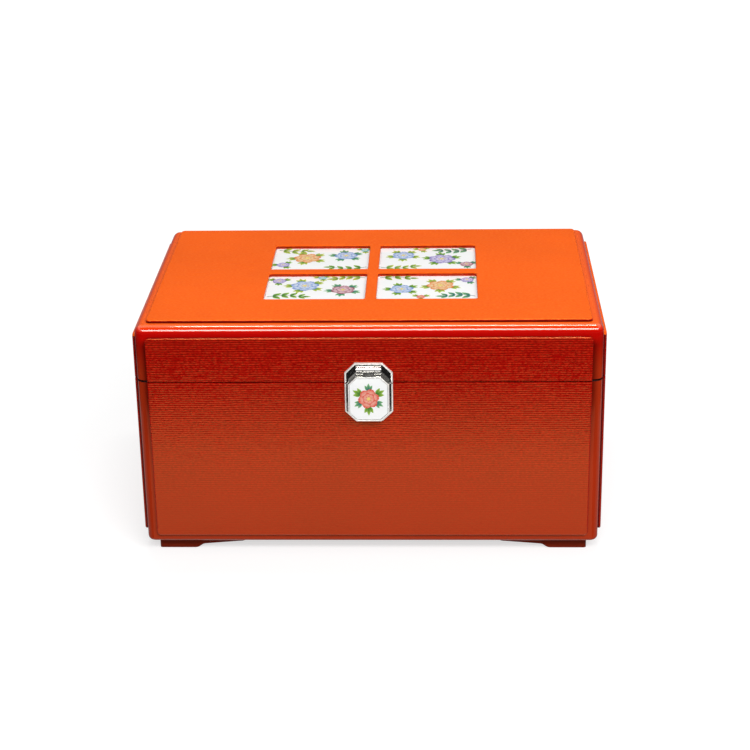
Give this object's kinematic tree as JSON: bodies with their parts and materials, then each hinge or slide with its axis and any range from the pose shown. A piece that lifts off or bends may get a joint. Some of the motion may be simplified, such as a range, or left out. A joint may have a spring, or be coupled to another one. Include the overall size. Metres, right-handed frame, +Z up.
{
  "type": "jewelry chest",
  "caption": "Lacquered wooden jewelry chest on bracket feet, with a hinged lid set with enamel tiles, an octagonal flap clasp and a lift-out tray.",
  "frame": {"origin": "on the ground, under the middle of the chest's outer box", "axes": "+X along the width to the viewer's right, -Y out of the front with the clasp, +Z up"},
  "size_m": [0.3044, 0.2106, 0.1635],
  "materials": {
    "lacquer": "glossy red lacquer",
    "cloth_lacquer": "red lacquer over a fine ribbed hemp cloth",
    "foot_wood": "dark red-brown lacquer, satin",
    "enamel": "white enamel with painted blossoms and leaves, glossy",
    "silver": "polished silver-coloured metal",
    "brass": "satin brass",
    "velvet": "deep red velvet",
    "tray_board": "thin board wrapped in deep red velvet",
    "mirror": "silvered glass",
    "magnet": "plated magnet"
  },
  "bodies": {
    "chest": {"foot_front_left": "foot_wood", "foot_front_right": "foot_wood", "foot_back_left": "foot_wood", "foot_back_right": "foot_wood", "wall_front": "lacquer", "wall_back": "lacquer", "wall_left": "lacquer", "wall_right": "lacquer", "bottom_board": "lacquer", "field_front": "cloth_lacquer", "field_back": "cloth_lacquer", "field_left": "cloth_lacquer", "field_right": "cloth_lacquer", "lining_front": "velvet", "lining_back": "velvet", "lining_left": "velvet", "lining_right": "velvet", "floor_pad": "velvet", "tray_ledge_left": "tray_board", "tray_ledge_right": "tray_board", "hinge_left_body_leaf": "brass", "hinge_left_pin": "brass", "hinge_right_body_leaf": "brass", "hinge_right_pin": "brass", "clasp_body_plate": "silver"},
    "lid": {"hinge_left_lid_leaf": "brass", "hinge_right_lid_leaf": "brass", "clasp_lid_plate": "silver", "clasp_pin": "silver", "lid_rail_front": "lacquer", "lid_rail_back": "lacquer", "lid_rail_left": "lacquer", "lid_rail_right": "lacquer", "lid_board": "lacquer", "lid_field_front": "cloth_lacquer", "lid_field_back": "cloth_lacquer", "lid_field_left": "cloth_lacquer", "lid_field_right": "cloth_lacquer", "lid_field_top": "cloth_lacquer", "tile_front_left": "enamel", "tile_front_right": "enamel", "tile_back_left": "enamel", "tile_back_right": "enamel", "mirror_frame": "velvet", "mirror": "mirror"},
    "clasp": {"clasp_flap": "silver", "clasp_plaque": "enamel", "clasp_magnet": "magnet"},
    "tray": {"tray_floor": "tray_board", "tray_wall_front": "tray_board", "tray_wall_back": "tray_board", "tray_wall_left": "tray_board", "tray_wall_right": "tray_board", "tray_divider_left": "tray_board", "tray_divider_right": "tray_board", "tray_divider_cross": "tray_board", "ring_roll_1": "velvet", "ring_roll_2": "velvet", "ring_roll_3": "velvet", "ring_roll_4": "velvet"}
  },
  "joints": [
    {"name": "lid_hinge", "type": "hinge", "parent": "chest", "child": "lid", "pos_m": [0, 0.10245, 0.124], "axis": [-1, 0, 0], "range_deg": [0, 95]},
    {"name": "clasp_hinge", "type": "hinge", "parent": "lid", "child": "clasp", "pos_m": [0, -0.10205, 0.134], "axis": [-1, 0, 0], "range_deg": [0, 110]},
    {"name": "tray_lift", "type": "slide", "parent": "chest", "child": "tray", "axis": [0, 0, 1], "range_m": [0, 0.024]}
  ]
}
